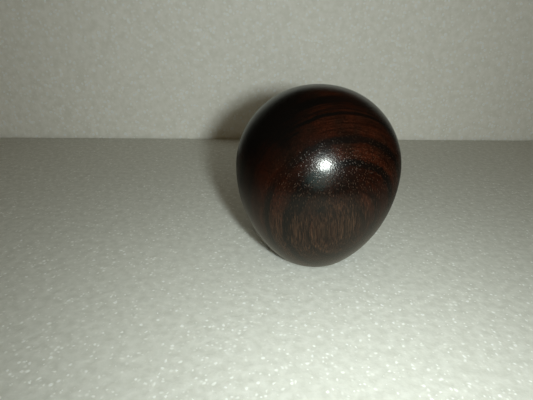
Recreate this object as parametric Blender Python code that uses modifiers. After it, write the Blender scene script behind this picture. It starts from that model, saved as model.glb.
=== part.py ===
"""A small pear-headed wooden mallet.

The head is turned from one block of dark rosewood and stands on a small flat foot. A slim
turned handle runs straight out of its back. The handle's tenon sits in a blind socket and
is held by a fox wedge, which the socket's bottom drives into the tenon's kerf, so that the
two cheeks spread and lock in the flared socket.

Frame: metres, +Z up along the head's turning axis, the origin at the centre of the foot
face, and the handle along +Y.
"""

import math

import bpy

MM = 0.001

# Play left between faces that touch on the real mallet.
GAP = 0.3 * MM

# Head: a crown arc and a shoulder arc above the widest ring, one flank arc below it, and a
# rounded arris that leads into the flat foot.
HEAD_RADIUS = 24.0 * MM
WIDEST_HEIGHT = 28.4 * MM
CROWN_RADIUS = 27.5 * MM
SHOULDER_RADIUS = 23.3 * MM
FOOT_RADIUS = 10.8 * MM
FOOT_ROUNDING = 1.8 * MM

# Handle: its axis is level, at the height of the widest ring. Places along it are measured
# from the head's axis, towards the butt.
HANDLE_HEIGHT = WIDEST_HEIGHT
TENON_RADIUS = 4.6 * MM
TENON_END = -6.7 * MM
TENON_CHAMFER = 0.6 * MM
NECK_END = 27.0 * MM
SWELL_RADIUS = 5.9 * MM
SWELL_PLACE = 80.0 * MM
BUTT_END = 106.0 * MM
BUTT_FULLNESS = 3.6

# Fox-wedged joint: a saw kerf across the tenon, level, so that the cheeks spread along the
# head's upright grain and press on its end grain.
KERF_WIDTH = 1.0 * MM
KERF_ROOT = 9.0 * MM
SPREAD_START = 9.3 * MM
CHEEK_SPREAD = 0.9 * MM
WEDGE_TIP = 7.5 * MM
WEDGE_WIDTH = 8.8 * MM

# The socket's cutter starts past the tenon's end and leaves through the back of the head.
SOCKET_END = TENON_END - GAP
SOCKET_MOUTH = HEAD_RADIUS + 6.0 * MM

HEAD_STEPS = 72
HANDLE_STEPS = 32

# Straight segments that stand in for each arc of the head's outline.
CROWN_SEGMENTS = 3
SHOULDER_SEGMENTS = 16
FLANK_SEGMENTS = 11
ROUNDING_SEGMENTS = 3

MERGE_DISTANCE = 0.01 * MM

ROSEWOOD = (0.055, 0.018, 0.011, 1.0)
HANDLE_ROSEWOOD = (0.070, 0.024, 0.014, 1.0)
BOXWOOD = (0.52, 0.38, 0.17, 1.0)


def clear_scene():
    """Removes whatever the scene holds."""
    for item in list(bpy.data.objects):
        bpy.data.objects.remove(item, do_unlink=True)


def new_collection(name):
    """A collection linked to the scene."""
    collection = bpy.data.collections.new(name)
    bpy.context.scene.collection.children.link(collection)
    return collection


def wood(name, colour, roughness):
    """A plain material in one wood's colour."""
    material = bpy.data.materials.new(name)
    material.use_nodes = True
    shader = material.node_tree.nodes["Principled BSDF"]
    shader.inputs["Base Color"].default_value = colour
    shader.inputs["Roughness"].default_value = roughness
    shader.inputs["Metallic"].default_value = 0.0
    return material


def arc(centre, radius, start, end, segments):
    """Points of an arc in the plane of radius and height, with both of its ends."""
    angles = [start + (end - start) * i / segments for i in range(segments + 1)]
    return [(centre[0] + radius * math.cos(a), centre[1] + radius * math.sin(a)) for a in angles]


def head_profile():
    """The head's outline as (radius, height), from the top of the crown down to the foot."""
    shoulder_centre = (HEAD_RADIUS - SHOULDER_RADIUS, WIDEST_HEIGHT)
    rise = math.sqrt((CROWN_RADIUS - SHOULDER_RADIUS) ** 2 - shoulder_centre[0] ** 2)
    crown_centre = (0.0, WIDEST_HEIGHT - rise)
    crown_join = math.atan2(rise, shoulder_centre[0])

    # The flank arc is tangent to the widest ring and to the foot's rounding.
    inset = FOOT_RADIUS - HEAD_RADIUS
    drop = WIDEST_HEIGHT - FOOT_ROUNDING
    flank_radius = (inset**2 + drop**2 - FOOT_ROUNDING**2) / (-2.0 * (inset + FOOT_ROUNDING))
    flank_centre = (HEAD_RADIUS - flank_radius, WIDEST_HEIGHT)
    foot_centre = (FOOT_RADIUS, FOOT_ROUNDING)
    flank_join = math.atan2(-drop, FOOT_RADIUS - flank_centre[0])

    crown = arc(crown_centre, CROWN_RADIUS, math.pi / 2, crown_join, CROWN_SEGMENTS)
    shoulder = arc(shoulder_centre, SHOULDER_RADIUS, crown_join, 0.0, SHOULDER_SEGMENTS)
    flank = arc(flank_centre, flank_radius, 0.0, flank_join, FLANK_SEGMENTS)
    rounding = arc(foot_centre, FOOT_ROUNDING, flank_join, -math.pi / 2, ROUNDING_SEGMENTS)
    top = (0.0, crown[0][1])
    return [top] + crown[1:] + shoulder[1:] + flank[1:] + rounding[1:] + [(0.0, 0.0)]


def swell(place):
    """The handle's radius between its neck and its fullest ring."""
    share = (place - NECK_END) / (SWELL_PLACE - NECK_END)
    eased = share * share * (3.0 - 2.0 * share)
    return TENON_RADIUS + (SWELL_RADIUS - TENON_RADIUS) * eased


def butt(angle):
    """A point of the handle's rounded end, from the tip (0) to the fullest ring (90 degrees)."""
    power = 2.0 / BUTT_FULLNESS
    radius = SWELL_RADIUS * math.sin(angle) ** power
    return radius, SWELL_PLACE + (BUTT_END - SWELL_PLACE) * math.cos(angle) ** power


def handle_profile():
    """The handle's outline as (radius, place along the handle), from the butt to the tenon's end."""
    end_segments = 12
    grip_segments = 9
    end = [butt(math.pi / 2 * i / end_segments) for i in range(1, end_segments)]
    run = SWELL_PLACE - NECK_END
    places = [SWELL_PLACE - run * i / grip_segments for i in range(grip_segments + 1)]
    grip = [(swell(place), place) for place in places]
    tenon = [
        (TENON_RADIUS, SPREAD_START),
        (TENON_RADIUS, TENON_END + TENON_CHAMFER),
        (TENON_RADIUS - TENON_CHAMFER, TENON_END),
        (0.0, TENON_END),
    ]
    return [(0.0, BUTT_END)] + end + grip + tenon


def socket_profile():
    """The socket cutter's outline, from the mouth to the blind end."""
    radius = TENON_RADIUS + GAP
    places = (SOCKET_MOUTH, SPREAD_START, SOCKET_END)
    return [(0.0, SOCKET_MOUTH)] + [(radius, place) for place in places] + [(0.0, SOCKET_END)]


def turned(name, profile, steps, collection):
    """An object turned about its own Z axis from a profile of (radius, height)."""
    mesh = bpy.data.meshes.new(name)
    points = [(radius, 0.0, height) for radius, height in profile]
    mesh.from_pydata(points, [(i, i + 1) for i in range(len(points) - 1)], [])
    item = bpy.data.objects.new(name, mesh)
    collection.objects.link(item)
    screw = item.modifiers.new("turned", "SCREW")
    screw.axis = "Z"
    screw.angle = 2.0 * math.pi
    screw.steps = steps
    screw.render_steps = steps
    screw.use_merge_vertices = True
    screw.merge_threshold = MERGE_DISTANCE
    screw.use_smooth_shade = True
    return item


def box(name, low, high, collection):
    """A box between two corners, in its own frame."""
    bpy.ops.mesh.primitive_cube_add(size=1.0)
    item = bpy.context.object
    item.name = item.data.name = name
    for vertex in item.data.vertices:
        vertex.co = [low[i] if vertex.co[i] < 0 else high[i] for i in range(3)]
    for owner in list(item.users_collection):
        owner.objects.unlink(item)
    collection.objects.link(item)
    return item


def cut(item, cutter):
    """Takes the cutter's shape out of an object."""
    boolean = item.modifiers.new("cut " + cutter.name, "BOOLEAN")
    boolean.operation = "DIFFERENCE"
    boolean.solver = "EXACT"
    boolean.object = cutter
    cutter.hide_render = True
    cutter.display_type = "WIRE"


def bake(item):
    """Replaces an object's mesh by its evaluated one, and removes its modifiers."""
    bpy.context.view_layer.update()
    evaluated = item.evaluated_get(bpy.context.evaluated_depsgraph_get())
    mesh = bpy.data.meshes.new_from_object(evaluated)
    item.modifiers.clear()
    item.data = mesh
    mesh.name = item.name


def spread(mesh):
    """Opens the two halves of a tenon or a socket, more and more towards the blind end."""
    run = SPREAD_START - TENON_END
    for vertex in mesh.vertices:
        depth = SPREAD_START - vertex.co.z
        if depth > 0 and abs(vertex.co.y) > MERGE_DISTANCE:
            vertex.co.y += math.copysign(CHEEK_SPREAD * depth / run, vertex.co.y)


def dress(item, material, sharp_angle=30.0):
    """Gives an object its material, and keeps its arrises sharp in smooth shading."""
    item.data.materials.append(material)
    item.data.shade_smooth()
    item.data.set_sharp_from_angle(angle=math.radians(sharp_angle))


def make_handle(axis, parts, cutters):
    """The handle, with its kerf sawn and its cheeks spread."""
    handle = turned("handle", handle_profile(), HANDLE_STEPS, parts)
    handle.parent = axis
    reach = 2.0 * TENON_RADIUS
    low = (-reach, -KERF_WIDTH / 2, TENON_END - reach)
    high = (reach, KERF_WIDTH / 2, KERF_ROOT)
    kerf = box("kerf_cutter", low, high, cutters)
    kerf.parent = axis
    cut(handle, kerf)
    bake(handle)
    bpy.data.objects.remove(kerf, do_unlink=True)
    spread(handle.data)
    dress(handle, wood("handle rosewood", HANDLE_ROSEWOOD, 0.35))
    return handle


def make_fox_wedge(axis, parts):
    """The wedge between the cheeks, thick at the blind end."""
    half_tip = KERF_WIDTH / 2 - GAP
    half_width = WEDGE_WIDTH / 2
    low = (-half_width, -half_tip, TENON_END)
    high = (half_width, half_tip, WEDGE_TIP)
    wedge = box("fox_wedge", low, high, parts)
    wedge.parent = axis
    spread(wedge.data)
    wedge.data.materials.append(wood("wedge boxwood", BOXWOOD, 0.6))
    return wedge


def make_head(axis, parts, cutters):
    """The head, with its blind socket."""
    head = turned("head", head_profile(), HEAD_STEPS, parts)
    socket = turned("socket_cutter", socket_profile(), HANDLE_STEPS, cutters)
    socket.parent = axis
    bake(socket)
    spread(socket.data)
    cut(head, socket)
    bake(head)
    dress(head, wood("polished rosewood", ROSEWOOD, 0.22))
    return head


def main():
    """Builds the mallet."""
    clear_scene()
    parts = new_collection("wooden_mallet")
    cutters = new_collection("cutters")
    axis = bpy.data.objects.new("handle_axis", None)
    axis.location = (0.0, 0.0, HANDLE_HEIGHT)
    axis.rotation_euler = (-math.pi / 2, 0.0, 0.0)
    parts.objects.link(axis)
    make_head(axis, parts, cutters)
    make_handle(axis, parts, cutters)
    make_fox_wedge(axis, parts)


main()
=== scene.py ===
"""The looks of a small pear-headed mallet of dark rosewood.

The head is turned from one block with its fibres nearly upright, sanded and waxed. The block
came from a wide stem, far in front of its pith, so the growth rings are nearly flat shells:
they cross the dome as black arches and break up into long streaks on the flank. The handle is
a second stick of rosewood with its fibres along it, held by a boxwood fox wedge in a blind
socket.

Sizes are in millimetres until they reach Blender, which works in metres here.
"""

import logging
import math
from collections.abc import Callable, Sequence
from dataclasses import dataclass
from enum import Enum

import bmesh
import bpy
from mathutils import Matrix, Vector


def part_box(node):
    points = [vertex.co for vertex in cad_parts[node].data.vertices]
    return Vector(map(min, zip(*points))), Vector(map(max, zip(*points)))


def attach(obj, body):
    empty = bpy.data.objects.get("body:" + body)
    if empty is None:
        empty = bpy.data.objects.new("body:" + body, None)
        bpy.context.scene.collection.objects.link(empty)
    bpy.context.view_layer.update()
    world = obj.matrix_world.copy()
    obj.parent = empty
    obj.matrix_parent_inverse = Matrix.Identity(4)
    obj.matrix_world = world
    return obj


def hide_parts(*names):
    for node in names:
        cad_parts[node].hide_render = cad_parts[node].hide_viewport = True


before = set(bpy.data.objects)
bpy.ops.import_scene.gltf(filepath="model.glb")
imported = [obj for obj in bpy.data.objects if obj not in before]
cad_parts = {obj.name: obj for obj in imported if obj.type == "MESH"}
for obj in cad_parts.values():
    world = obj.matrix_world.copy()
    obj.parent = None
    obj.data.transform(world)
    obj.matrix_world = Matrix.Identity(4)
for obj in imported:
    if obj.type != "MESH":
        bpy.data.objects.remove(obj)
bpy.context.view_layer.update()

LOG = logging.getLogger("mallet")
MM = 0.001
PER_MM = 1.0 / MM

# Points nearer to each other than this are one point.
WELD = 0.002 * MM

Place = tuple[float, float, float]
Outline = list[tuple[float, float]]
Tree = bpy.types.NodeTree
Socket = bpy.types.NodeSocket

UPRIGHT = (0.0, 0.0, 1.0)
ALONG_HANDLE = (0.0, 1.0, 0.0)

# A colour ramp holds at most 32 stops, and one ring takes four of them.
RINGS_PER_RAMP = 7

# Noise seldom leaves this range.
NOISE_LOW = 0.36
NOISE_HIGH = 0.64

# Node settings that several patterns share.
MIX = {"data_type": "RGBA"}
MIX_MULTIPLY = {"data_type": "RGBA", "blend_type": "MULTIPLY"}
MULTIPLY = {"operation": "MULTIPLY"}
MULTIPLY_CLAMPED = {"operation": "MULTIPLY", "use_clamp": True}
MULTIPLY_ADD = {"operation": "MULTIPLY_ADD"}
EASED = {"interpolation_type": "SMOOTHSTEP"}


def linear(colour: str) -> tuple[float, float, float, float]:
    """Turns an sRGB hex colour into linear light.

    Args:
        colour: the colour as "#rrggbb".

    Returns:
        Red, green and blue in linear light, and an alpha of 1.
    """
    shares = [int(colour[i : i + 2], 16) / 255.0 for i in (1, 3, 5)]
    light = [s / 12.92 if s <= 0.04045 else ((s + 0.055) / 1.055) ** 2.4 for s in shares]
    return (light[0], light[1], light[2], 1.0)


def add(
    tree: Tree,
    kind: str,
    settings: dict[str, object] | None = None,
    inputs: dict[str | int, object] | None = None,
) -> bpy.types.Node:
    """Adds a node with its settings and links.

    Args:
        tree: the node tree that the node joins.
        kind: the node's type, without its "ShaderNode" start.
        settings: attribute names and their values.
        inputs: input names or numbers, each with a value, or with a socket to link.

    Returns:
        The new node.
    """
    node = tree.nodes.new("ShaderNode" + kind)
    for name, value in (settings or {}).items():
        setattr(node, name, value)
    for key, value in (inputs or {}).items():
        if isinstance(value, Socket):
            tree.links.new(value, node.inputs[key])
        else:
            node.inputs[key].default_value = value
    return node


def new_material(name: str) -> bpy.types.Material:
    """A node material with an empty tree."""
    material = bpy.data.materials.new(name)
    material.use_nodes = True
    material.node_tree.nodes.clear()
    return material


# --- modelling ------------------------------------------------------------------------------


def arc(centre: tuple[float, float], radius: float, start: float, end: float, count: int) -> Outline:
    """Places along an arc.

    Args:
        centre: the arc's centre.
        radius: the arc's radius.
        start: the angle of the first place, in radians.
        end: the angle of the last place, in radians.
        count: the number of steps between them.

    Returns:
        The places, with both ends.
    """
    angles = [start + (end - start) * i / count for i in range(count + 1)]
    return [(centre[0] + radius * math.cos(a), centre[1] + radius * math.sin(a)) for a in angles]


def pick(item: bpy.types.Object, test: Callable[[Vector], bool]) -> int:
    """Selects, in edit mode, the vertices whose place passes a test.

    Args:
        item: the object in edit mode.
        test: takes a place in metres and says whether to select it.

    Returns:
        The number of vertices selected.
    """
    cage = bmesh.from_edit_mesh(item.data)
    for vertex in cage.verts:
        vertex.select_set(False)
    chosen = [vertex for vertex in cage.verts if test(vertex.co)]
    for vertex in chosen:
        vertex.select_set(True)
    cage.select_flush(True)
    bmesh.update_edit_mesh(item.data)
    return len(chosen)


def lone_vertex(name: str, place: Vector) -> bpy.types.Object:
    """Starts a piece as one vertex, in edit mode.

    Args:
        name: the piece's name.
        place: where the vertex goes, in metres.

    Returns:
        The new object, active and in edit mode.
    """
    bpy.ops.object.select_all(action="DESELECT")
    bpy.ops.mesh.primitive_circle_add(vertices=3, radius=MM, location=place)
    item = bpy.context.object
    item.name = item.data.name = name
    bpy.ops.object.transform_apply(location=True, rotation=True, scale=True)
    bpy.ops.object.mode_set(mode="EDIT")
    bpy.ops.mesh.select_all(action="SELECT")
    bpy.ops.mesh.merge(type="CENTER")
    return item


def turn(name: str, outline: Outline, centre: Place, axis: Place, steps: int) -> bpy.types.Object:
    """Turns a closed solid on the lathe: draws its outline and spins it round the axis.

    Args:
        name: the piece's name.
        outline: places as (radius, distance along the axis), both ends on the axis.
        centre: a point of the axis, in millimetres.
        axis: the axis's direction.
        steps: the number of facets round the axis.

    Returns:
        The turned solid, in object mode.
    """
    along = Vector(axis)
    out = Vector((1.0, 0.0, 0.0))
    places = [(Vector(centre) + out * r + along * h) * MM for r, h in outline]
    item = lone_vertex(name, places[0])
    for before, after in zip(places, places[1:]):
        step = after - before
        bpy.ops.mesh.extrude_region_move(TRANSFORM_OT_translate={"value": step})
    bpy.ops.mesh.select_all(action="SELECT")
    middle = Vector(centre) * MM
    bpy.ops.mesh.spin(steps=steps, angle=2.0 * math.pi, center=middle, axis=along)
    bpy.ops.mesh.select_all(action="SELECT")
    bpy.ops.mesh.remove_doubles(threshold=WELD)
    bpy.ops.mesh.normals_make_consistent(inside=False)
    bpy.ops.object.mode_set(mode="OBJECT")
    return item


def block(name: str, middle: Place, size: Place) -> bpy.types.Object:
    """Saws a block, square to the axes.

    Args:
        name: the piece's name.
        middle: its middle, in millimetres.
        size: its size along each axis, in millimetres.

    Returns:
        The block, in object mode.
    """
    bpy.ops.object.select_all(action="DESELECT")
    bpy.ops.mesh.primitive_cube_add(size=1.0, location=Vector(middle) * MM)
    item = bpy.context.object
    item.name = item.data.name = name
    item.scale = Vector(size) * MM
    bpy.ops.object.transform_apply(location=True, rotation=True, scale=True)
    return item


def spread_cheeks(item: bpy.types.Object, level: float, start: float, end: float, gape: float) -> None:
    """Opens the two halves of a tenon, a wedge or a socket, more and more towards the end.

    Args:
        item: the object in object mode.
        level: the height of the plane between the halves.
        start: the place along Y where the spreading starts.
        end: the place along Y where it is full.
        gape: how far each half has moved at the end.
    """
    bpy.context.view_layer.objects.active = item
    bpy.ops.object.mode_set(mode="EDIT")
    cage = bmesh.from_edit_mesh(item.data)
    # The vertices stand at stations along Y, which are told apart to 0.01 mm.
    stations = sorted({round(v.co.y * PER_MM, 2) for v in cage.verts if v.co.y * PER_MM < start})
    near = 0.006 * MM
    for station in stations:
        lift = gape * MM * (start - station) / (start - end)
        for side in (1.0, -1.0):

            def on_half(place: Vector) -> bool:
                """Says whether a place lies at this station, on this side of the plane."""
                above = (place.z - level * MM) * side
                return abs(place.y - station * MM) < near and above > near

            if pick(item, on_half):
                bpy.ops.transform.translate(value=(0.0, 0.0, lift * side))
    bpy.ops.object.mode_set(mode="OBJECT")


def apply_modifier(item: bpy.types.Object, kind: str, **settings: object) -> None:
    """Adds a modifier to a piece and applies it.

    Args:
        item: the piece.
        kind: the modifier's type.
        **settings: the modifier's attributes and their values.
    """
    bpy.ops.object.select_all(action="DESELECT")
    item.select_set(True)
    bpy.context.view_layer.objects.active = item
    modifier = item.modifiers.new(kind.lower(), kind)
    for name, value in settings.items():
        setattr(modifier, name, value)
    bpy.ops.object.modifier_apply(modifier=modifier.name)


def cut(item: bpy.types.Object, cutter: bpy.types.Object) -> None:
    """Takes a cutter's shape out of a piece, and lines the cut with the cutter's material.

    Args:
        item: the piece.
        cutter: the cutter, which is removed afterwards.
    """
    apply_modifier(
        item, "BOOLEAN", operation="DIFFERENCE", solver="EXACT", object=cutter, material_mode="TRANSFER"
    )
    bpy.data.objects.remove(cutter, do_unlink=True)
    bpy.ops.object.mode_set(mode="EDIT")
    bpy.ops.mesh.select_all(action="SELECT")
    bpy.ops.mesh.remove_doubles(threshold=WELD)
    bpy.ops.object.mode_set(mode="OBJECT")


def smooth(item: bpy.types.Object, angle: float = 30.0) -> None:
    """Shades a piece smooth, but for its arrises sharper than an angle in degrees."""
    bpy.ops.object.select_all(action="DESELECT")
    item.select_set(True)
    bpy.context.view_layer.objects.active = item
    bpy.ops.object.shade_smooth_by_angle(angle=math.radians(angle))


def stand_in(item: bpy.types.Object, node: str) -> None:
    """Puts a piece in the place of its CAD node and reports it.

    Args:
        item: the finished piece.
        node: the CAD node that it replaces.
    """
    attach(item, "root")
    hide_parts(node)
    low, high = (Vector(corner) * PER_MM for corner in (item.bound_box[0], item.bound_box[6]))
    faces = len(item.data.polygons)
    LOG.info("%s: %d faces, %s to %s mm", item.name, faces, low.to_tuple(1), high.to_tuple(1))


# --- finishes -------------------------------------------------------------------------------


@dataclass(frozen=True)
class GrowthRing:
    """A dark line of growth: its place outwards, its width, how black it is, and its soft edge."""

    place: float
    width: float
    ink: float
    fade: float = 0.4


class Fibres(Enum):
    """Which way the wood's fibres run, as the turn that brings them upright for the pattern."""

    UPRIGHT = (0.0, 0.0, 0.0)
    ALONG_HANDLE = (math.pi / 2, 0.0, 0.0)


class Polish(Enum):
    """How a rosewood surface was made, as (roughness, refractive index, pore depth in mm).

    Waxed wood has a small clear highlight with a soft halo round it. Oiled wood has a broader,
    duller sheen. Bored or sawn wood is raw and matt.
    """

    WAXED = (0.215, 1.38, 0.035)
    OILED = (0.36, 1.43, 0.03)
    BORED = (0.72, 1.5, 0.05)


@dataclass(frozen=True)
class Patch:
    """A soft round patch of the wood, where something is stronger or weaker."""

    place: Place
    reach: float
    change: float


@dataclass(frozen=True)
class Grain:
    """How one stick of rosewood grew and was cut.

    The pith is measured from the stick's middle, across the fibres, and the rings' places from
    the middle too, away from the pith. The lean is how far the fibres shift across for each
    millimetre that they rise. Ragged says how far a ring's edge is torn, inside and at the
    outer rings, and pored between which distances outwards the pores begin to crowd.

    The patches are soft: inked ones change how black the rings are, stained ones are black by
    themselves, reddened ones are redder, and tanned ones have pale streaks.
    """

    fibres: Fibres
    middle: Place
    pith: tuple[float, float]
    lean: tuple[float, float]
    rings: tuple[GrowthRing, ...]
    ragged: tuple[float, float]
    inked: tuple[Patch, ...] = ()
    stained: tuple[Patch, ...] = ()
    reddened: tuple[Patch, ...] = ()
    tanned: tuple[Patch, ...] = ()
    pored: tuple[float, float] = (-1000.0, -999.0)


@dataclass(frozen=True)
class RingEdge:
    """How the rings' edges wander: torn fibre by fibre near the outside, and swaying slowly.

    The tear starts and is full at these distances inside the last ring.
    """

    tear: float = 0.42
    tear_stretch: float = 0.06
    tear_start: float = 8.0
    tear_full: float = 1.0
    sway: float = 8.0
    sway_stretch: float = 0.25
    sway_reach: float = 1.6


@dataclass(frozen=True)
class Pores:
    """Open pores, drawn as long cells.

    Rosewood's pores are 0.1 to 0.2 mm wide, too fine to show, so they are drawn about twice as
    wide. The floor and the rim are shares of the spacing. A cell has a pore if its own random
    number passes a limit, which is high where pores are scarce and low where they crowd.
    """

    spacing: float = 0.28
    stretch: float = 0.07
    floor: float = 0.15
    rim: float = 0.40
    scarce: float = 0.85
    crowded: float = 0.28
    contrast: float = 2.2
    paleness: float = 0.5
    dullness: float = 0.2


@dataclass(frozen=True)
class Figure:
    """The wood's patterns that its colour and its surface share.

    They are the place along the fibres, the distance outwards, the fine streaks, and the thin
    growth layers.
    """

    fibre: Socket
    out: Socket
    streaks: Socket
    layers: Socket


@dataclass(frozen=True)
class Rosewood:
    """Dark rosewood: red-brown heartwood with black rings, fine streaks and open pores.

    The rings are shells round the pith, so they are worked out from the distance to it. The
    streaks and pores are very long along the fibres: they look like specks on end grain and
    like long scratches on side grain.

    Sizes are in millimetres across the fibres, and a stretch is a pattern's size across the
    fibres as a share of its length along them. The feather is how weak and how strong the
    growth layers make a stain. Ridge, sink and roughen say how much the streaks, the pores and
    the grit shape the surface, as shares of the pores' depth.
    """

    name: str
    polish: Polish
    grain: Grain
    brown: str = "#140a06"
    red: str = "#230d06"
    ink: str = "#080605"
    tan: str = "#3a281c"
    speck: str = "#4a3424"
    cloud: float = 5.0
    cloud_stretch: float = 0.3
    streak: float = 0.28
    streak_stretch: float = 0.04
    streak_depth: float = 0.5
    tan_line: tuple[float, float] = (0.38, 0.6)
    layer: float = 0.5
    layer_rates: Place = (1.0, 0.05, 0.02)
    layer_depth: float = 0.45
    edge: RingEdge = RingEdge()
    feather: tuple[float, float] = (0.4, 1.6)
    pores: Pores = Pores()
    grit: float = 0.45
    grit_stretch: float = 0.5
    ridge: float = 0.5
    sink: float = -0.6
    roughen: float = 1.2
    relief: float = 0.9

    def make(self) -> bpy.types.Material:
        """Builds the material.

        Returns:
            The new material.
        """
        material = new_material(self.name)
        tree = material.node_tree
        fibre = self._along_fibres(tree)
        out = self._outwards(tree, fibre)
        streaks = self._noise(tree, fibre, self.streak, self.streak_stretch)
        figure = Figure(fibre, out, streaks, self._layers(tree, fibre, out))
        pores = self._pores(tree, figure)
        colour = self._colour(tree, figure, self._ink(tree, figure), pores)
        self._surface(tree, figure, colour, pores)
        return material

    def _along_fibres(self, tree: Tree) -> Socket:
        """Coordinates in millimetres from the stick's middle, with the fibres along Z.

        Args:
            tree: the material's tree.

        Returns:
            The coordinates, straightened by the fibres' lean.
        """
        place = add(tree, "TexCoord").outputs["Object"]
        inputs = {"Vector": place, "Location": tuple(-n * MM for n in self.grain.middle)}
        centred = add(tree, "Mapping", None, inputs).outputs["Vector"]
        turned = self.grain.fibres.value
        inputs = {"Vector": centred, "Rotation": turned, "Scale": (PER_MM, PER_MM, PER_MM)}
        upright = add(tree, "Mapping", None, inputs).outputs["Vector"]
        rise = add(tree, "SeparateXYZ", None, {0: upright}).outputs["Z"]
        lean = (-self.grain.lean[0], -self.grain.lean[1], 0.0)
        inputs = {0: rise, 1: lean, 2: upright}
        return add(tree, "VectorMath", MULTIPLY_ADD, inputs).outputs["Vector"]

    def _outwards(self, tree: Tree, fibre: Socket) -> Socket:
        """How far a place lies outwards from the stick's middle, away from the pith.

        Args:
            tree: the material's tree.
            fibre: the coordinates along the fibres.

        Returns:
            The distance in millimetres.
        """
        pith = self.grain.pith
        inputs = {0: fibre, 1: (1.0, 1.0, 0.0), 2: (-pith[0], -pith[1], 0.0)}
        flat = add(tree, "VectorMath", MULTIPLY_ADD, inputs).outputs["Vector"]
        radius = add(tree, "VectorMath", {"operation": "LENGTH"}, {0: flat}).outputs["Value"]
        inputs = {0: radius, 1: math.hypot(*pith)}
        return add(tree, "Math", {"operation": "SUBTRACT"}, inputs).outputs[0]

    def _noise(self, tree: Tree, fibre: Socket, size: float, stretch: float) -> Socket:
        """Noise of one size.

        Args:
            tree: the material's tree.
            fibre: the coordinates along the fibres.
            size: the pattern's size across the fibres, in millimetres.
            stretch: its size across the fibres as a share of its length along them.

        Returns:
            The noise, about 0 to 1.
        """
        inputs = {"Vector": fibre, "Scale": (1.0 / size, 1.0 / size, stretch / size)}
        place = add(tree, "Mapping", None, inputs).outputs["Vector"]
        inputs = {"Vector": place, "Scale": 1.0, "Detail": 2.5, "Roughness": 0.55}
        return add(tree, "TexNoise", None, inputs).outputs["Fac"]

    def _layers(self, tree: Tree, fibre: Socket, out: Socket) -> Socket:
        """Thin growth layers: lines along the rings on end grain, upright lines on side grain.

        Args:
            tree: the material's tree.
            fibre: the coordinates along the fibres.
            out: the distance outwards.

        Returns:
            Noise, about 0 to 1.
        """
        pith = self.grain.pith
        far = math.hypot(*pith)
        inputs = {0: fibre, 1: (pith[1] / far, -pith[0] / far, 0.0)}
        around = add(tree, "VectorMath", {"operation": "DOT_PRODUCT"}, inputs).outputs["Value"]
        rise = add(tree, "SeparateXYZ", None, {0: fibre}).outputs["Z"]
        inputs = {"X": out, "Y": around, "Z": rise}
        place = add(tree, "CombineXYZ", None, inputs).outputs["Vector"]
        inputs = {"Vector": place, "Scale": tuple(rate / self.layer for rate in self.layer_rates)}
        drawn = add(tree, "Mapping", None, inputs).outputs["Vector"]
        inputs = {"Vector": drawn, "Scale": 1.0, "Detail": 3.0, "Roughness": 0.6}
        return add(tree, "TexNoise", None, inputs).outputs["Fac"]

    def _patches(self, tree: Tree, start: Socket | float, patches: Sequence[Patch]) -> Socket | float:
        """Adds soft round patches to a value.

        Args:
            tree: the material's tree.
            start: the value before the patches.
            patches: the patches, in the piece's own coordinates.

        Returns:
            The value with the patches' changes added.
        """
        place = add(tree, "TexCoord").outputs["Object"]
        value = start
        for patch in patches:
            inputs = {0: place, 1: tuple(n * MM for n in patch.place)}
            away = add(tree, "VectorMath", {"operation": "DISTANCE"}, inputs).outputs["Value"]
            reach = patch.reach * MM
            inputs = {"Value": away, "From Min": reach, "From Max": 0.0, "To Max": patch.change}
            change = add(tree, "MapRange", EASED, inputs).outputs["Result"]
            value = add(tree, "Math", {"operation": "ADD"}, {0: value, 1: change}).outputs[0]
        return value

    def _shift(self, tree: Tree, distance: Socket, noise: Socket, reach: Socket | float) -> Socket:
        """Moves a distance to and fro with a noise.

        Args:
            tree: the material's tree.
            distance: the distance.
            noise: the noise, about 0 to 1.
            reach: how far the whole noise moves it, in millimetres.

        Returns:
            The moved distance.
        """
        around = add(tree, "Math", {"operation": "SUBTRACT"}, {0: noise, 1: 0.5}).outputs[0]
        return add(tree, "Math", MULTIPLY_ADD, {0: around, 1: reach, 2: distance}).outputs[0]

    def _ink(self, tree: Tree, figure: Figure) -> Socket:
        """How black the wood is, from its growth rings and its stains.

        The rings sway a little, and fibre by fibre their edges are torn, more so outwards. The
        stains are feathered by the growth layers.

        Args:
            tree: the material's tree.
            figure: the wood's patterns.

        Returns:
            The blackness, 0 to 1.
        """
        grain = self.grain
        edge = self.edge
        last = grain.rings[-1].place
        inputs = {
            "Value": figure.out,
            "From Min": last - edge.tear_start,
            "From Max": last - edge.tear_full,
            "To Min": grain.ragged[0],
            "To Max": grain.ragged[1],
        }
        reach = add(tree, "MapRange", EASED, inputs).outputs["Result"]
        tear = self._noise(tree, figure.fibre, edge.tear, edge.tear_stretch)
        torn = self._shift(tree, figure.out, tear, reach)
        sway = self._noise(tree, figure.fibre, edge.sway, edge.sway_stretch)
        out = self._shift(tree, torn, sway, edge.sway_reach)
        blackness: Socket | float = 0.0
        for first in range(0, len(grain.rings), RINGS_PER_RAMP):
            some = grain.rings[first : first + RINGS_PER_RAMP]
            inputs = {0: blackness, 1: self._rings(tree, out, some)}
            blackness = add(tree, "Math", {"operation": "MAXIMUM"}, inputs).outputs[0]
        inputs = {0: blackness, 1: self._patches(tree, 1.0, grain.inked)}
        ringed = add(tree, "Math", MULTIPLY_CLAMPED, inputs).outputs[0]
        inputs = {"Value": figure.layers, "From Min": 0.35, "From Max": 0.65}
        inputs |= {"To Min": self.feather[0], "To Max": self.feather[1]}
        feather = add(tree, "MapRange", None, inputs).outputs["Result"]
        inputs = {0: self._patches(tree, 0.0, grain.stained), 1: feather}
        stain = add(tree, "Math", MULTIPLY_CLAMPED, inputs).outputs[0]
        return add(tree, "Math", {"operation": "MAXIMUM"}, {0: ringed, 1: stain}).outputs[0]

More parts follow.
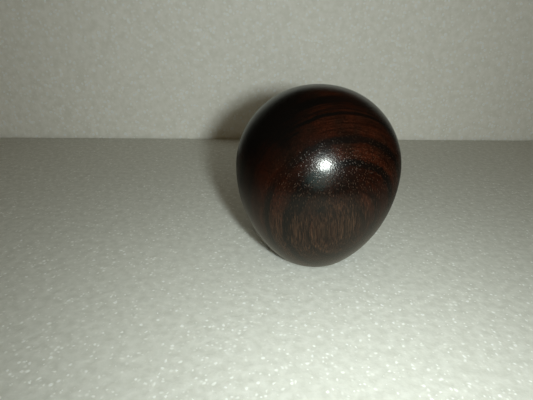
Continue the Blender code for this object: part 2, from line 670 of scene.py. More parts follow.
    def _rings(self, tree: Tree, out: Socket, rings: Sequence[GrowthRing]) -> Socket:
        """Draws some rings with one colour ramp over the distance outwards.

        Args:
            tree: the material's tree.
            out: the distance outwards, in millimetres.
            rings: the rings, from the pith outwards.

        Returns:
            The blackness of these rings.
        """
        margin = 1.0
        low = rings[0].place - rings[0].width - rings[0].fade - margin
        high = rings[-1].place + rings[-1].width + rings[-1].fade + margin
        inputs = {"Value": out, "From Min": low, "From Max": high}
        share = add(tree, "MapRange", None, inputs).outputs["Result"]
        node = add(tree, "ValToRGB", None, {"Fac": share})
        ramp = node.color_ramp
        ramp.interpolation = "LINEAR"
        ramp.elements[0].color = (0.0, 0.0, 0.0, 1.0)
        ramp.elements[1].color = (0.0, 0.0, 0.0, 1.0)
        for ring in rings:
            half = ring.width / 2
            rim = half + ring.fade
            for offset, ink in ((-rim, 0.0), (-half, ring.ink), (half, ring.ink), (rim, 0.0)):
                stop = ramp.elements.new((ring.place + offset - low) / (high - low))
                stop.color = (ink, ink, ink, 1.0)
        return node.outputs["Color"]

    def _pores(self, tree: Tree, figure: Figure) -> Socket:
        """Open pores, crowded in some shells of the wood.

        Args:
            tree: the material's tree.
            figure: the wood's patterns.

        Returns:
            1 in the middle of a pore, 0 outside.
        """
        pores = self.pores
        across = 1.0 / pores.spacing
        inputs = {"Vector": figure.fibre, "Scale": (across, across, across * pores.stretch)}
        place = add(tree, "Mapping", None, inputs).outputs["Vector"]
        cells = add(tree, "TexVoronoi", {"feature": "F1"}, {"Vector": place, "Scale": 1.0})
        inputs = {"Value": cells.outputs["Distance"], "From Min": pores.rim, "From Max": pores.floor}
        hollow = add(tree, "MapRange", EASED, inputs).outputs["Result"]
        chance = add(tree, "SeparateColor", None, {"Color": cells.outputs["Color"]}).outputs["Red"]
        inputs = {
            "Value": figure.out,
            "From Min": self.grain.pored[0],
            "From Max": self.grain.pored[1],
            "To Min": pores.scarce,
            "To Max": pores.crowded,
        }
        limit = add(tree, "MapRange", EASED, inputs).outputs["Result"]
        spare = add(tree, "Math", {"operation": "SUBTRACT"}, {0: chance, 1: limit}).outputs[0]
        kept = add(tree, "Math", MULTIPLY_CLAMPED, {0: spare, 1: pores.contrast}).outputs[0]
        return add(tree, "Math", MULTIPLY, {0: hollow, 1: kept}).outputs[0]

    def _colour(self, tree: Tree, figure: Figure, ink: Socket, pores: Socket) -> Socket:
        """Mixes the wood's colour.

        Brown and red wood lie in soft clouds. Tan streaks come over them, then the streaks' and
        layers' light and dark, the black of the rings, and the pale specks of the pores.

        Args:
            tree: the material's tree.
            figure: the wood's patterns.
            ink: the blackness of the rings.
            pores: the pores.

        Returns:
            The colour.
        """
        clouds = self._noise(tree, figure.fibre, self.cloud, self.cloud_stretch)
        inputs = {"Value": clouds, "From Min": NOISE_LOW, "From Max": NOISE_HIGH}
        warmth = add(tree, "MapRange", {"clamp": False}, inputs).outputs["Result"]
        warmed = self._patches(tree, warmth, self.grain.reddened)
        inputs = {"Factor": warmed, "A": linear(self.brown), "B": linear(self.red)}
        colour = add(tree, "Mix", MIX, inputs).outputs["Result"]
        inputs = {"Value": figure.streaks, "From Min": self.tan_line[0], "From Max": self.tan_line[1]}
        line = add(tree, "MapRange", None, inputs).outputs["Result"]
        inputs = {0: self._patches(tree, 0.0, self.grain.tanned), 1: line}
        share = add(tree, "Math", MULTIPLY, inputs).outputs[0]
        inputs = {"Factor": share, "A": colour, "B": linear(self.tan)}
        colour = add(tree, "Mix", MIX, inputs).outputs["Result"]
        for pattern, depth in ((figure.streaks, self.streak_depth), (figure.layers, self.layer_depth)):
            inputs = {
                "Value": pattern,
                "From Min": NOISE_LOW,
                "From Max": NOISE_HIGH,
                "To Min": 1.0 - depth,
                "To Max": 1.0 + depth,
            }
            contrast = add(tree, "MapRange", None, inputs).outputs["Result"]
            inputs = {"Factor": 1.0, "A": colour, "B": contrast}
            colour = add(tree, "Mix", MIX_MULTIPLY, inputs).outputs["Result"]
        inputs = {"Factor": ink, "A": colour, "B": linear(self.ink)}
        colour = add(tree, "Mix", MIX, inputs).outputs["Result"]
        share = add(tree, "Math", MULTIPLY, {0: pores, 1: self.pores.paleness}).outputs[0]
        inputs = {"Factor": share, "A": colour, "B": linear(self.speck)}
        return add(tree, "Mix", MIX, inputs).outputs["Result"]

    def _surface(self, tree: Tree, figure: Figure, colour: Socket, pores: Socket) -> None:
        """Adds the shader: a thin smooth film over the wood, broken by the pores.

        Args:
            tree: the material's tree.
            figure: the wood's patterns.
            colour: the wood's colour.
            pores: the pores.
        """
        roughness, index, depth = self.polish.value
        grit = self._noise(tree, figure.fibre, self.grit, self.grit_stretch)
        height: Socket | float = 0.0
        for pattern, weight in ((figure.streaks, self.ridge), (pores, self.sink), (grit, self.roughen)):
            height = add(tree, "Math", MULTIPLY_ADD, {0: pattern, 1: weight, 2: height}).outputs[0]
        inputs = {"Height": height, "Distance": depth * MM, "Strength": self.relief}
        bump = add(tree, "Bump", None, inputs).outputs["Normal"]
        dullest = min(1.0, roughness + self.pores.dullness)
        inputs = {"Value": pores, "To Min": roughness, "To Max": dullest}
        dulling = add(tree, "MapRange", None, inputs).outputs["Result"]
        inputs = {"Base Color": colour, "Roughness": dulling, "IOR": index, "Normal": bump}
        shader = add(tree, "BsdfPrincipled", None, inputs).outputs["BSDF"]
        add(tree, "OutputMaterial", None, {"Surface": shader})


@dataclass(frozen=True)
class Boxwood:
    """Sawn boxwood: dense, pale yellow, nearly without pores, with faint marks of the saw.

    A wave's bands are a twentieth as wide as its scale says, so the saw's pitch is divided too.
    """

    name: str = "boxwood_sawn"
    pale: str = "#c9a868"
    dark: str = "#a8854a"
    fibre: Place = (2.0, 0.15, 2.0)
    saw_pitch: float = 0.8
    saw_depth: float = 0.03

    def make(self) -> bpy.types.Material:
        """Builds the material.

        Returns:
            The new material.
        """
        material = new_material(self.name)
        tree = material.node_tree
        place = add(tree, "TexCoord").outputs["Object"]
        inputs = {"Vector": place, "Scale": tuple(rate * PER_MM for rate in self.fibre)}
        along = add(tree, "Mapping", None, inputs).outputs["Vector"]
        inputs = {"Vector": along, "Scale": 1.0, "Detail": 3.0}
        fibre = add(tree, "TexNoise", None, inputs).outputs["Fac"]
        inputs = {"Factor": fibre, "A": linear(self.dark), "B": linear(self.pale)}
        colour = add(tree, "Mix", MIX, inputs).outputs["Result"]
        inputs = {"Vector": place, "Scale": PER_MM / self.saw_pitch / 20.0, "Distortion": 1.5}
        saw = add(tree, "TexWave", {"bands_direction": "Y"}, inputs).outputs["Fac"]
        inputs = {"Height": saw, "Distance": self.saw_depth * MM}
        bump = add(tree, "Bump", None, inputs).outputs["Normal"]
        inputs = {"Base Color": colour, "Roughness": 0.62, "IOR": 1.5, "Normal": bump}
        shader = add(tree, "BsdfPrincipled", None, inputs).outputs["BSDF"]
        add(tree, "OutputMaterial", None, {"Surface": shader})
        return material


@dataclass(frozen=True)
class PaleSheet:
    """White packing foam for the floor and the wall: softly glowing, mottled, with bright specks of
    painted glint.

    It is seen from its front only and vanishes from behind, so that it never stands between a
    camera and the mallet. Its sizes are in millimetres: the mottling's cells and relief, the
    bubbles whose painted glints sparkle, and how far light spreads inside. The glint is how bright
    a painted glint is, above white.
    """

    name: str
    light: str
    shade: str
    cell: float = 1.3
    relief: float = 0.12
    bubble: float = 1.1
    glow: float = 6.0
    glint: float = 1.5
    bubble_relief: float = 0.3

    def make(self) -> bpy.types.Material:
        """Builds the material.

        Returns:
            The new material.
        """
        material = new_material(self.name)
        tree = material.node_tree
        place = add(tree, "TexCoord").outputs["Object"]
        inputs = {"Vector": place, "Scale": PER_MM / self.cell, "Detail": 3.0}
        cells = add(tree, "TexNoise", None, inputs).outputs["Fac"]
        inputs = {"Value": cells, "From Min": 0.35, "From Max": 0.65}
        share = add(tree, "MapRange", None, inputs).outputs["Result"]
        inputs = {"Factor": share, "A": linear(self.shade), "B": linear(self.light)}
        mottled = add(tree, "Mix", MIX, inputs).outputs["Result"]
        painted_glints = self._painted_glints(tree, place)
        # Painted glints: the bubbles' specks are coloured brighter than white, as if they shone.
        inputs = {"Factor": painted_glints, "A": mottled, "B": (self.glint, self.glint, self.glint, 1.0)}
        colour = add(tree, "Mix", MIX, inputs).outputs["Result"]
        inputs = {0: painted_glints, 1: self.bubble_relief, 2: cells}
        height = add(tree, "Math", MULTIPLY_ADD, inputs).outputs[0]
        inputs = {"Height": height, "Distance": self.relief * MM}
        bump = add(tree, "Bump", None, inputs).outputs["Normal"]
        inputs = {
            "Base Color": colour,
            "Roughness": 0.6,
            "IOR": 1.4,
            "Subsurface Weight": 0.6,
            "Subsurface Radius": (1.0, 0.95, 0.85),
            "Subsurface Scale": self.glow * MM,
            "Normal": bump,
        }
        foam = add(tree, "BsdfPrincipled", None, inputs)
        foam.subsurface_method = "BURLEY"
        behind = add(tree, "NewGeometry").outputs["Backfacing"]
        clear = add(tree, "BsdfTransparent").outputs["BSDF"]
        inputs = {"Fac": behind, 1: foam.outputs["BSDF"], 2: clear}
        shader = add(tree, "MixShader", None, inputs).outputs["Shader"]
        add(tree, "OutputMaterial", None, {"Surface": shader})
        return material

    def _painted_glints(self, tree: Tree, place: Socket) -> Socket:
        """Painted glints of bubbles that catch the light, as scattered specks of many sizes.

        Args:
            tree: the material's tree.
            place: the sheet's own coordinates, in metres.

        Returns:
            1 in the middle of the brightest painted glints, 0 between them.
        """
        inputs = {"Vector": place, "Scale": PER_MM / self.bubble / 1.7, "Detail": 1.0}
        warp = add(tree, "TexNoise", None, inputs).outputs["Color"]
        inputs = {0: warp, 1: (self.bubble * MM,) * 3, 2: place}
        warped = add(tree, "VectorMath", MULTIPLY_ADD, inputs).outputs["Vector"]
        inputs = {"Vector": warped, "Scale": PER_MM / self.bubble}
        bubbles = add(tree, "TexVoronoi", {"feature": "F1"}, inputs)
        chance = add(tree, "SeparateColor", None, {"Color": bubbles.outputs["Color"]})
        inputs = {"Value": chance.outputs["Green"], "To Min": 0.2, "To Max": 0.6}
        reach = add(tree, "MapRange", None, inputs).outputs["Result"]
        inputs = {"Value": bubbles.outputs["Distance"], "From Min": reach, "From Max": 0.05}
        dot = add(tree, "MapRange", EASED, inputs).outputs["Result"]
        inputs = {"Value": chance.outputs["Red"], "From Min": 0.4, "From Max": 1.3}
        kept = add(tree, "MapRange", None, inputs).outputs["Result"]
        return add(tree, "Math", MULTIPLY, {0: dot, 1: kept}).outputs[0]


@dataclass(frozen=True)
class PaintedFalloffSheet:
    """The floor or wall as the mallet's gloss shows it, painted pale in the middle and dim farther out.

    A small lamp near the eye lights what is close far more than what is distant. The colour paints
    that falloff of light in, and the waxed wood mirrors it as a soft painted reflection low on its
    flank.
    """

    name: str
    near: str
    far: str
    middle: Place
    start: float
    end: float

    def make(self) -> bpy.types.Material:
        """Builds the material.

        Returns:
            The new material.
        """
        material = new_material(self.name)
        tree = material.node_tree
        place = add(tree, "TexCoord").outputs["Object"]
        inputs = {0: place, 1: tuple(n * MM for n in self.middle)}
        away = add(tree, "VectorMath", {"operation": "DISTANCE"}, inputs).outputs["Value"]
        inputs = {"Value": away, "From Min": self.start * MM, "From Max": self.end * MM}
        share = add(tree, "MapRange", EASED, inputs).outputs["Result"]
        inputs = {"Factor": share, "A": linear(self.near), "B": linear(self.far)}
        colour = add(tree, "Mix", MIX, inputs).outputs["Result"]
        shader = add(tree, "BsdfDiffuse", None, {"Color": colour}).outputs["BSDF"]
        add(tree, "OutputMaterial", None, {"Surface": shader})
        return material


# --- the mallet's pieces --------------------------------------------------------------------


@dataclass
class JointSizes:
    """The fox-wedged joint in the head's back, shared by the head, the handle and the wedge.

    Places are along Y from the head's axis. The cheeks spread from the spread's start to the
    tenon's end, in that many steps, and the gape is how far each has moved there.
    """

    level: float = 28.4
    tenon_radius: float = 4.6
    tenon_end: float = -6.7
    chamfer: float = 0.6
    play: float = 0.3
    kerf: float = 1.0
    kerf_root: float = 9.0
    spread_start: float = 9.3
    spread_steps: int = 8
    gape: float = 0.9
    wedge_tip: float = 7.5
    wedge_width: float = 8.8


HEAD_GRAIN = Grain(
    fibres=Fibres.UPRIGHT,
    middle=(0.0, 0.0, 28.4),
    pith=(-219.0, 559.0),
    lean=(-0.08, -0.289),
    rings=(
        # Rings in the back half of the head.
        GrowthRing(-24.5, 0.5, 0.7),
        GrowthRing(-21.0, 1.4, 0.9, 0.7),
        GrowthRing(-18.6, 0.3, 0.6),
        GrowthRing(-15.2, 0.6, 0.85),
        GrowthRing(-11.5, 2.0, 1.0, 0.8),
        GrowthRing(-8.6, 0.4, 0.7),
        GrowthRing(-5.9, 0.9, 0.9, 0.5),
        GrowthRing(-3.4, 0.3, 0.5),
        # The broad black band across the crown, and the dark wood in front of it.
        GrowthRing(4.5, 2.8, 1.0, 1.2),
        GrowthRing(7.5, 1.9, 0.9, 0.35),
        # The dome's first arch, and two faint lines in the red wood below it.
        GrowthRing(9.7, 0.8, 1.0, 0.3),
        GrowthRing(11.6, 0.15, 0.2, 0.3),
        GrowthRing(13.6, 0.15, 0.2, 0.3),
        # The dome's second and third arches.
        GrowthRing(16.15, 1.1, 0.88, 0.45),
        GrowthRing(20.3, 0.85, 0.95, 0.35),
        # Thin torn rings that the front of the flank cuts lengthways, into dark streaks.
        GrowthRing(21.7, 0.4, 0.5, 0.3),
        GrowthRing(23.0, 0.6, 0.7, 0.4),
        GrowthRing(24.6, 0.3, 0.6, 0.3),
    ),
    ragged=(0.6, 3.2),
    inked=(
        # The rings pale at the right of the crown and on the left shoulder.
        Patch((9.0, -3.0, 50.5), 14.0, -0.6),
        Patch((-12.0, -18.0, 35.0), 11.0, -0.6),
    ),
    stained=(
        # The black left side of the dome, with its soft fringe.
        Patch((-14.0, -9.0, 44.5), 16.5, 1.6),
        Patch((-11.0, -2.0, 49.0), 11.0, 1.2),
        Patch((-13.5, -16.0, 40.0), 21.0, 0.45),
        Patch((-7.5, -17.5, 41.5), 5.0, 0.3),
        # Dark wood round the front of the shoulder.
        Patch((-2.0, -23.5, 29.5), 9.0, 0.75),
        Patch((9.0, -22.0, 31.5), 8.0, 0.6),
        Patch((0.8, -20.8, 40.0), 5.0, 0.85),
        # Dark gaps between the tan streaks of the flank.
        Patch((-4.3, -23.6, 25.8), 4.5, 0.75),
        Patch((1.8, -23.8, 25.0), 3.0, 0.6),
    ),
    reddened=(
        Patch((-9.2, -22.1, 29.7), 8.0, 1.1),
        Patch((12.0, -17.0, 39.0), 9.0, 0.3),
        Patch((2.0, -2.0, 53.0), 12.0, 0.9),
        Patch((18.0, -15.0, 28.0), 11.0, 1.1),
    ),
    tanned=(
        Patch((4.0, -22.0, 18.0), 15.0, 0.9),
        Patch((-7.0, -20.0, 15.0), 13.0, 0.7),
        Patch((0.0, -13.0, 4.0), 16.0, 0.9),
        Patch((12.0, -21.0, 26.0), 8.0, 0.15),
    ),
    pored=(11.0, 20.5),
)

HANDLE_GRAIN = Grain(
    fibres=Fibres.ALONG_HANDLE,
    middle=(0.0, 50.0, 28.4),
    pith=(9.0, -30.0),
    lean=(0.012, 0.008),
    rings=(
        GrowthRing(-6.4, 0.5, 0.8),
        GrowthRing(-4.6, 0.9, 0.95, 0.5),
        GrowthRing(-2.7, 0.3, 0.6),
        GrowthRing(-0.8, 1.0, 1.0, 0.5),
        GrowthRing(1.3, 0.3, 0.6),
        GrowthRing(3.0, 0.6, 0.85),
        GrowthRing(5.3, 0.8, 0.9),
    ),
    ragged=(0.8, 1.6),
)


@dataclass
class Head:
    """The turned head, standing on its foot, with the blind socket bored in its back.

    The foot's underside is hollowed inside a flat rim. The hollow's lip is (width, height), a
    tool ring is (half width, height), and the dent of the lathe's centre is (radius, depth).
    """

    joint: JointSizes
    radius: float
    height: float
    widest: float = 28.4
    crown_radius: float = 27.5
    shoulder_radius: float = 23.3
    foot_radius: float = 10.8
    foot_rounding: float = 1.8
    hollow_radius: float = 8.2
    hollow_depth: float = 0.5
    hollow_lip: tuple[float, float] = (0.25, 0.08)
    tool_rings: int = 9
    tool_ring: tuple[float, float] = (0.12, 0.07)
    centre_dent: tuple[tuple[float, float], ...] = ((0.55, 0.0), (0.3, 0.5), (0.0, 0.6))
    crown_steps: int = 10
    shoulder_steps: int = 48
    flank_steps: int = 40
    rounding_steps: int = 8
    facets: int = 180
    socket_facets: int = 64
    cutter_overrun: float = 6.0

    def outline(self) -> Outline:
        """The outline from the top of the crown to the middle of the foot.

        Returns:
            Places as (radius, height).
        """
        shoulder_centre = (self.radius - self.shoulder_radius, self.widest)
        rise = math.sqrt((self.crown_radius - self.shoulder_radius) ** 2 - shoulder_centre[0] ** 2)
        crown_centre = (0.0, self.widest - rise)
        crown_join = math.atan2(rise, shoulder_centre[0])
        inset = self.foot_radius - self.radius
        drop = self.widest - self.foot_rounding
        rounding = self.foot_rounding
        flank_radius = (inset**2 + drop**2 - rounding**2) / (-2.0 * (inset + rounding))
        flank_centre = (self.radius - flank_radius, self.widest)
        foot_centre = (self.foot_radius, rounding)
        flank_join = math.atan2(-drop, self.foot_radius - flank_centre[0])
        crown = arc(crown_centre, self.crown_radius, math.pi / 2, crown_join, self.crown_steps)
        shoulder = arc(shoulder_centre, self.shoulder_radius, crown_join, 0.0, self.shoulder_steps)
        flank = arc(flank_centre, flank_radius, 0.0, flank_join, self.flank_steps)
        arris = arc(foot_centre, rounding, flank_join, -math.pi / 2, self.rounding_steps)
        top = (0.0, crown[0][1])
        return [top] + crown[1:] + shoulder[1:] + flank[1:] + arris[1:] + self.underside()

    def underside(self) -> Outline:
        """The foot's underside: a flat rim, a shallow hollow with tool rings, and a dent.

        Returns:
            Places as (radius, height), from the rim inwards.
        """
        lip_width, lip_height = self.hollow_lip
        half_width, ring_height = self.tool_ring
        places = [(self.hollow_radius + lip_width, 0.0), (self.hollow_radius, lip_height)]
        for i in range(1, self.tool_rings):
            radius = self.hollow_radius * (1.0 - i / self.tool_rings)
            dish = self.hollow_depth * (1.0 - (radius / self.hollow_radius) ** 2)
            places.append((radius + half_width, dish))
            places.append((radius, dish + ring_height))
            places.append((radius - half_width, dish))
        return places + [(radius, self.hollow_depth + depth) for radius, depth in self.centre_dent]

    def socket(self) -> bpy.types.Object:
        """The cutter of the blind socket, which flares above and below towards its end.

        Returns:
            The cutter, which carries the bored wood's material.
        """
        joint = self.joint
        bore = joint.tenon_radius + joint.play
        end = joint.tenon_end - joint.play
        mouth = self.radius + self.cutter_overrun
        outline = [(0.0, mouth), (bore, mouth)]
        run = joint.spread_start - end
        steps = joint.spread_steps
        outline += [(bore, joint.spread_start - run * i / steps) for i in range(steps + 1)]
        outline += [(bore - joint.chamfer, end), (0.0, end)]
        centre = (0.0, 0.0, joint.level)
        cutter = turn("socket_cutter", outline, centre, ALONG_HANDLE, self.socket_facets)
        spread_cheeks(cutter, joint.level, joint.spread_start, joint.tenon_end, joint.gape)
        # Raw bored end grain: matt, with torn fibres that are paler than the polished wood.
        bored = Rosewood("rosewood_bored", Polish.BORED, HEAD_GRAIN, speck="#3a2a20")
        cutter.data.materials.append(bored.make())
        return cutter

    def build(self) -> bpy.types.Object:
        """Turns, bores and dresses the head.

        Returns:
            The finished head.
        """
        head = turn("turned_head", self.outline(), (0.0, 0.0, 0.0), UPRIGHT, self.facets)
        # Sanded and waxed on the lathe: the wood looks wet and deep, and pores break the gloss.
        waxed = Rosewood("rosewood_turned_and_waxed", Polish.WAXED, HEAD_GRAIN)
        head.data.materials.append(waxed.make())
        cut(head, self.socket())
        smooth(head)
        stand_in(head, "head")
        return head


@dataclass
class Handle:
    """The slim turned handle, with its kerfed tenon spread in the socket.

    The butt's end has the dent of the lathe's centre as (radius, depth). Its curve starts a few
    steps out, where the dent ends.
    """

    joint: JointSizes
    butt_end: float
    swell_radius: float
    neck_end: float = 27.0
    swell_place: float = 80.0
    fullness: float = 3.6
    centre_dent: tuple[tuple[float, float], ...] = ((0.0, 0.7), (0.35, 0.5), (0.6, 0.0))
    butt_steps: int = 30
    butt_start: int = 4
    grip_steps: int = 40
    shank_steps: int = 4
    facets: int = 72
    saw_overrun: float = 2.0

    def swell(self, place: float) -> float:
        """The radius between the neck and the fullest ring."""
        share = (place - self.neck_end) / (self.swell_place - self.neck_end)
        eased = share * share * (3.0 - 2.0 * share)
        return self.joint.tenon_radius + (self.swell_radius - self.joint.tenon_radius) * eased

    def outline(self) -> Outline:
        """The outline from the middle of the butt to the middle of the tenon's end.

        Returns:
            Places as (radius, distance along the handle).
        """
        joint = self.joint
        power = 2.0 / self.fullness
        reach = self.butt_end - self.swell_place
        places = [(radius, self.butt_end - depth) for radius, depth in self.centre_dent]
        for i in range(self.butt_start, self.butt_steps):
            angle = math.pi / 2 * i / self.butt_steps
            radius = self.swell_radius * math.sin(angle) ** power
            places.append((radius, self.swell_place + reach * math.cos(angle) ** power))
        run = self.swell_place - self.neck_end
        grip = [self.swell_place - run * i / self.grip_steps for i in range(self.grip_steps + 1)]
        places += [(self.swell(place), place) for place in grip]
        shank = joint.tenon_radius
        run = self.neck_end - joint.spread_start
        for i in range(self.shank_steps - 1, 0, -1):
            places.append((shank, joint.spread_start + run * i / self.shank_steps))
        run = joint.spread_start - joint.tenon_end - joint.chamfer
        steps = joint.spread_steps
        places += [(shank, joint.spread_start - run * i / steps) for i in range(steps + 1)]
        return places + [(shank - joint.chamfer, joint.tenon_end), (0.0, joint.tenon_end)]

    def kerf(self) -> bpy.types.Object:
        """The saw's cut, as a box.

        Returns:
            The cutter, which carries the sawn wood's material.
        """
        joint = self.joint
        reach = 2.0 * joint.tenon_radius
        low = joint.tenon_end - self.saw_overrun
        middle = (0.0, (low + joint.kerf_root) / 2, joint.level)
        size = (2.0 * reach, joint.kerf_root - low, joint.kerf)
        cutter = block("kerf_cutter", middle, size)
        # Raw sawn side grain, matt and a little paler than the oiled wood.
        sawn = Rosewood("rosewood_sawn", Polish.BORED, HANDLE_GRAIN, speck="#3a2a20")
        cutter.data.materials.append(sawn.make())
        return cutter

    def build(self) -> bpy.types.Object:
        """Turns, saws and dresses the handle.

        Returns:
            The finished handle.
        """
        joint = self.joint
        centre = (0.0, 0.0, joint.level)
        handle = turn("turned_handle", self.outline(), centre, ALONG_HANDLE, self.facets)
        # Oiled only, for grip: a broad soft sheen along the handle, with long open streaks.
        oiled = Rosewood(
            "rosewood_turned_and_oiled", Polish.OILED, HANDLE_GRAIN, brown="#24150e", red="#321a10"
        )
        handle.data.materials.append(oiled.make())
        cut(handle, self.kerf())
        spread_cheeks(handle, joint.level, joint.spread_start, joint.tenon_end, joint.gape)
        smooth(handle)
        stand_in(handle, "handle")
        return handle


@dataclass
class FoxWedge:
    """The boxwood wedge inside the joint, driven home by the bottom of the socket."""

    joint: JointSizes
    bevel: float = 0.12

    def build(self) -> bpy.types.Object:
        """Saws and dresses the wedge.

        Returns:
            The finished wedge.
        """
        joint = self.joint
        length = joint.wedge_tip - joint.tenon_end
        thickness = joint.kerf - 2.0 * joint.play
        middle = (0.0, joint.tenon_end + length / 2, joint.level)
        wedge = block("sawn_fox_wedge", middle, (joint.wedge_width, length, thickness))
        spread_cheeks(wedge, joint.level, joint.spread_start, joint.tenon_end, joint.gape)
        apply_modifier(wedge, "BEVEL", width=self.bevel * MM, segments=2, limit_method="NONE")
        smooth(wedge)
        wedge.data.materials.append(Boxwood().make())
        stand_in(wedge, "fox_wedge")
        return wedge


# --- stage, light and camera ----------------------------------------------------------------


@dataclass
class Stage:
    """A pale floor and, behind the mallet, a pale wall that is turned by a few degrees.

    Each has a twin just in front of it, which only gloss sees, painted with the lamp's falloff of
    light as a painted reflection. The wall's twin is low.
    """

    wall_distance: float = 123.5
    wall_turn: float = 11.8
    reach: float = 1500.0
    gloss_lift: float = 0.02
    gloss_height: float = 100.0

    def lying_sheet(self, name: str, height: float) -> bpy.types.Object:
        """Lays a level sheet.

        Args:
            name: the sheet's name.
            height: its height.

        Returns:
            The sheet.
        """
        bpy.ops.object.select_all(action="DESELECT")
        bpy.ops.mesh.primitive_plane_add(size=2.0 * self.reach * MM, location=(0.0, 0.0, height * MM))
        sheet = bpy.context.object
        sheet.name = name
        return sheet

    def standing_sheet(self, name: str, height: float, nearer: float) -> bpy.types.Object:
        """Stands a sheet behind the mallet.

        Args:
            name: the sheet's name.
            height: the height of its upper edge.
            nearer: how far it stands in front of the wall.

        Returns:
            The sheet, with its place in its mesh.
        """
        bpy.ops.object.select_all(action="DESELECT")
        bpy.ops.mesh.primitive_plane_add(size=1.0)
        sheet = bpy.context.object
        sheet.name = name
        size = Matrix.Diagonal((2.0 * self.reach * MM, height * MM, 1.0, 1.0))
        stand = Matrix.Rotation(math.pi / 2, 4, "X")
        place = Matrix.Translation((0.0, (self.wall_distance - nearer) * MM, height / 2 * MM))
        swing = Matrix.Rotation(math.radians(self.wall_turn), 4, "Z")
        sheet.data.transform(place @ swing @ stand @ size)
        return sheet

    def build(self) -> None:
        """Lays the floor and stands the wall, each with the twin that only gloss sees."""
        floor = self.lying_sheet("floor", 0.0)
        foam = PaleSheet("foam_floor", "#e8e7e1", "#dad9d2", cell=2.2, relief=0.25)
        floor.data.materials.append(foam.make())
        # The floor's twin is painted light: pale under the lamp and dim farther out, seen only as a
        # painted reflection.
        sheen = self.lying_sheet("floor_in_gloss", self.gloss_lift)
        near = PaintedFalloffSheet("painted_lamplight_floor_in_gloss", "#d6d0c2", "#85817a", (0.0, -40.0, 0.0), 30.0, 100.0)
        sheen.data.materials.append(near.make())
        # The wall's twin is painted light too: pale near the head and dim farther out.
        glint = self.standing_sheet("wall_in_gloss", self.gloss_height, self.gloss_lift)
        far = PaintedFalloffSheet("painted_lamplight_wall_in_gloss", "#e8e7e1", "#4a4946", (0.0, 123.0, 40.0), 60.0, 150.0)
        glint.data.materials.append(far.make())
        wall = self.standing_sheet("wall", self.reach, 0.0)
        foam = PaleSheet("foam_wall", "#fefbf6", "#f4f1ea", cell=2.8, relief=0.3, bubble=1.7, glint=2.4)
        wall.data.materials.append(foam.make())
        for sheet in (floor, wall):
            sheet.visible_glossy = False
        for sheet in (sheen, glint):
            sheet.visible_camera = False
            sheet.visible_diffuse = False
            sheet.visible_shadow = False
        LOG.info("stage: floor and wall")


@dataclass
class Lamp:
    """A round soft lamp. Without in_diffuse, only gloss shows it."""

    name: str
    place: Place
    target: Place
    radius: float
    power: float
    colour: str
    in_diffuse: bool = True

    def build(self) -> None:
        """Hangs the lamp and turns it to its target."""
        light = bpy.data.lights.new(self.name, "AREA")
        light.shape = "DISK"
        light.size = 2.0 * self.radius * MM
        light.energy = self.power
        light.color = linear(self.colour)[:3]
        item = bpy.data.objects.new(self.name, light)
        bpy.context.scene.collection.objects.link(item)
        aim = Vector(self.target) - Vector(self.place)
        item.location = Vector(self.place) * MM
        item.rotation_euler = aim.to_track_quat("-Z", "Y").to_euler()
        item.visible_camera = False
        item.visible_diffuse = self.in_diffuse


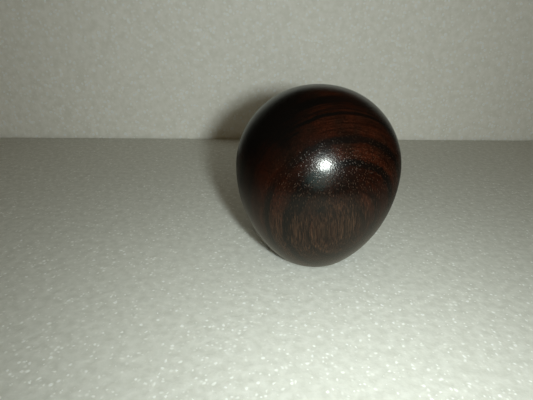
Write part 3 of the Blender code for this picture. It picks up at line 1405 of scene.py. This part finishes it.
@dataclass
class Surroundings:
    """A dim warm room, whose light is fainter in the mallet's gloss and pale behind the stage."""

    backdrop: float = 0.42
    ambient: float = 0.052
    reflected: float = 0.012
    tint: str = "#ffe2a8"
    plain: str = "#f2f1ec"

    def build(self) -> None:
        """Sets the world's light and the plain view transform."""
        scene = bpy.context.scene
        world = bpy.data.worlds.new("room")
        scene.world = world
        world.use_nodes = True
        tree = world.node_tree
        tree.nodes.clear()
        ray = add(tree, "LightPath").outputs
        inputs = {"Value": ray["Is Glossy Ray"], "To Min": self.ambient, "To Max": self.reflected}
        unseen = add(tree, "MapRange", None, inputs).outputs["Result"]
        inputs = {"Value": ray["Is Camera Ray"], "To Min": unseen, "To Max": self.backdrop}
        strength = add(tree, "MapRange", None, inputs).outputs["Result"]
        inputs = {"Factor": ray["Is Camera Ray"], "A": linear(self.tint), "B": linear(self.plain)}
        colour = add(tree, "Mix", MIX, inputs).outputs["Result"]
        inputs = {"Color": colour, "Strength": strength}
        light = add(tree, "Background", None, inputs).outputs["Background"]
        add(tree, "OutputWorld", None, {"Surface": light})
        scene.view_settings.view_transform = "Standard"


@dataclass
class Viewpoint:
    """The viewer's eye: in front of the head and above it, looking down.

    The heading, the pitch up from straight down, and the roll are in degrees.
    """

    height: float = 71.25
    standoff: float = 118.23
    heading: float = 7.14
    pitch: float = 65.0
    roll: float = 1.69
    lens: float = 28.2
    sensor: float = 36.0
    nearest: float = 1.0

    def build(self) -> None:
        """Sets up the camera."""
        camera = bpy.data.cameras.new("eye")
        camera.lens = self.lens
        camera.sensor_width = self.sensor
        camera.clip_start = self.nearest * MM
        item = bpy.data.objects.new("eye", camera)
        bpy.context.scene.collection.objects.link(item)
        turned = Matrix.Rotation(math.radians(self.heading), 4, "Z")
        dipped = Matrix.Rotation(math.radians(self.pitch), 4, "X")
        rolled = Matrix.Rotation(math.radians(self.roll), 4, "Z")
        place = Matrix.Translation(Vector((0.0, -self.standoff, self.height)) * MM)
        item.matrix_world = place @ turned @ dipped @ rolled
        bpy.context.scene.camera = item


# A small lamp beside the eye: the round highlight on the dome, and the shadow behind the head.
KEY = Lamp("key", (20.4, -111.5, 73.8), (15.0, 60.0, 56.0), 5.8, 0.180, "#f5fff8")
# A broad faint glow that only gloss shows: a cool veil round the highlight.
SKY = Lamp("sky", (12.0, -161.0, 47.0), (0.0, 0.0, 30.0), 42.0, 0.025, "#ccfff2", in_diffuse=False)


def main() -> None:
    """Builds the mallet, its stage, its light and its camera."""
    logging.basicConfig(level=logging.INFO, format="%(name)s: %(message)s")
    Viewpoint().build()
    Surroundings().build()
    Stage().build()
    KEY.build()
    SKY.build()
    _, head_high = (Vector(corner) * PER_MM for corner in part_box("head"))
    _, handle_high = (Vector(corner) * PER_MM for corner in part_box("handle"))
    joint = JointSizes()
    Head(joint, radius=head_high.x, height=head_high.z).build()
    Handle(joint, butt_end=handle_high.y, swell_radius=handle_high.x).build()
    FoxWedge(joint).build()


if __name__ == "__main__":
    main()
